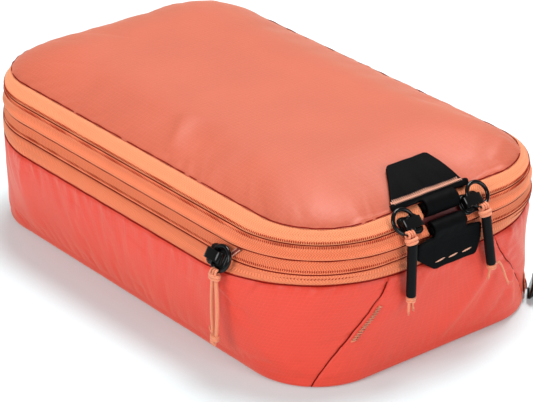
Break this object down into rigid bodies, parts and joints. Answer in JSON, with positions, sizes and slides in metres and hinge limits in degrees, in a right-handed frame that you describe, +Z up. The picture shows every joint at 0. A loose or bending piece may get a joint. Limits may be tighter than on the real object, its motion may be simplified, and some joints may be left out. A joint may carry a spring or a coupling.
{
  "type": "packing cube",
  "caption": "Soft zipped packing cube with a domed hinged lid, an expanding collar, a low compartment, zip sliders with cord pulls and black pull tabs.",
  "frame": {"origin": "centre of the bottom panel, on the surface that the cube stands on", "axes": "+Z up; +Y along the cube's length towards the rear end, where the lid is hinged; -Y is the front end with the pull tabs; +X is the side with the low zip"},
  "size_m": [0.1787, 0.2667, 0.0877],
  "materials": {
    "coral_nylon": "thin satin nylon",
    "orange_tape": "herringbone zip tape",
    "orange_coil": "woven-in zip coil",
    "red_binding": "matt grosgrain binding",
    "black_tab": "matt coated fabric with contrast stitching",
    "black_hardware": "gloss black",
    "black_rubber": "matt",
    "peach_cord": "braided cord"
  },
  "bodies": {
    "base": {"bottom_panel": "coral_nylon", "front_end_panel": "coral_nylon", "rear_end_panel": "coral_nylon", "left_side_panel": "coral_nylon", "right_side_panel": "coral_nylon", "divider_panel": "coral_nylon", "front_left_seam_binding": "red_binding", "front_right_seam_binding": "red_binding", "rear_left_seam_binding": "red_binding", "rear_right_seam_binding": "red_binding", "compression_zip_lower_tape": "orange_tape", "compression_zip_lower_coil": "orange_coil", "expansion_gusset": "coral_nylon", "low_zip_lower_tape": "orange_tape", "low_zip_upper_tape": "orange_tape", "low_zip_coil": "orange_coil"},
    "collar": {"compression_zip_upper_tape": "orange_tape", "compression_zip_upper_coil": "orange_coil", "compression_zip_end_cover": "red_binding", "main_zip_lower_tape": "orange_tape", "main_zip_lower_coil": "orange_coil", "lower_tab": "black_tab", "lower_tab_roll": "black_tab", "lid_hinge_strip": "coral_nylon"},
    "lid": {"lid_panel": "coral_nylon", "main_zip_upper_tape": "orange_tape", "main_zip_upper_coil": "orange_coil", "upper_tab": "black_tab", "upper_tab_roll": "black_tab"},
    "left_main_slider": {"left_main_slider": "black_hardware"},
    "left_pull_ring": {"left_pull_ring": "black_hardware"},
    "left_pull": {"left_pull_hitch": "peach_cord", "left_pull_tube": "black_rubber", "left_pull_tail": "peach_cord"},
    "right_main_slider": {"right_main_slider": "black_hardware"},
    "right_pull_ring": {"right_pull_ring": "black_hardware"},
    "right_pull": {"right_pull_hitch": "peach_cord", "right_pull_tube": "black_rubber", "right_pull_tail": "peach_cord", "right_pull_thread": "peach_cord"},
    "compression_slider": {"compression_slider": "black_hardware"},
    "compression_pull_ring": {"compression_pull_ring": "black_hardware"},
    "compression_pull": {"compression_pull_hitch": "peach_cord", "compression_pull_front_strand": "peach_cord", "compression_pull_rear_strand": "peach_cord", "compression_pull_knot": "peach_cord"},
    "low_zip_slider": {"low_zip_slider": "black_hardware"},
    "low_zip_pull_ring": {"low_zip_pull_ring": "black_hardware"}
  },
  "joints": [
    {"name": "collar_expansion", "type": "slide", "parent": "base", "child": "collar", "axis": [0, 0, 1], "range_m": [0, 0.08], "deforming": ["expansion_gusset"]},
    {"name": "lid_hinge", "type": "hinge", "parent": "collar", "child": "lid", "pos_m": [0, 0.1275, 0.0718], "axis": [-1, 0, 0], "range_deg": [0, 110]},
    {"name": "left_main_slider_travel", "type": "slide", "parent": "lid", "child": "left_main_slider", "axis": [-1, 0, 0], "range_m": [0, 0.009]},
    {"name": "left_ring_swing", "type": "hinge", "parent": "left_main_slider", "child": "left_pull_ring", "pos_m": [-0.0179, -0.12837, 0.07407], "axis": [0, 0.6018, 0.7986], "range_deg": [0, 60]},
    {"name": "left_pull_swing", "type": "hinge", "parent": "left_pull_ring", "child": "left_pull", "pos_m": [-0.0234, -0.13168, 0.06968], "axis": [-1, 0, 0], "range_deg": [0, 100]},
    {"name": "right_main_slider_travel", "type": "slide", "parent": "lid", "child": "right_main_slider", "axis": [1, 0, 0], "range_m": [0, 0.013]},
    {"name": "right_ring_swing", "type": "hinge", "parent": "right_main_slider", "child": "right_pull_ring", "pos_m": [0.0142, -0.12837, 0.07407], "axis": [0, -0.6018, -0.7986], "range_deg": [0, 60]},
    {"name": "right_pull_swing", "type": "hinge", "parent": "right_pull_ring", "child": "right_pull", "pos_m": [0.0197, -0.13168, 0.06968], "axis": [-1, 0, 0], "range_deg": [0, 100]},
    {"name": "compression_slider_travel", "type": "slide", "parent": "collar", "child": "compression_slider", "axis": [0, 1, 0], "range_m": [0, 0.14]},
    {"name": "compression_ring_swing", "type": "hinge", "parent": "compression_slider", "child": "compression_pull_ring", "pos_m": [-0.08563, -0.0749, 0.05728], "axis": [-0.4003, 0, -0.9164], "range_deg": [0, 60]},
    {"name": "compression_pull_swing", "type": "hinge", "parent": "compression_pull_ring", "child": "compression_pull", "pos_m": [-0.08783, -0.0804, 0.05224], "axis": [0, 1, 0], "range_deg": [0, 100]},
    {"name": "low_zip_slider_travel", "type": "slide", "parent": "base", "child": "low_zip_slider", "axis": [0.6845, 0.729, 0], "range_m": [0, 0.012]},
    {"name": "low_zip_ring_swing", "type": "hinge", "parent": "low_zip_slider", "child": "low_zip_pull_ring", "pos_m": [0.0692, -0.11851, 0.00574], "axis": [-0.2097, 0.1969, -0.9577], "range_deg": [0, 60]}
  ]
}
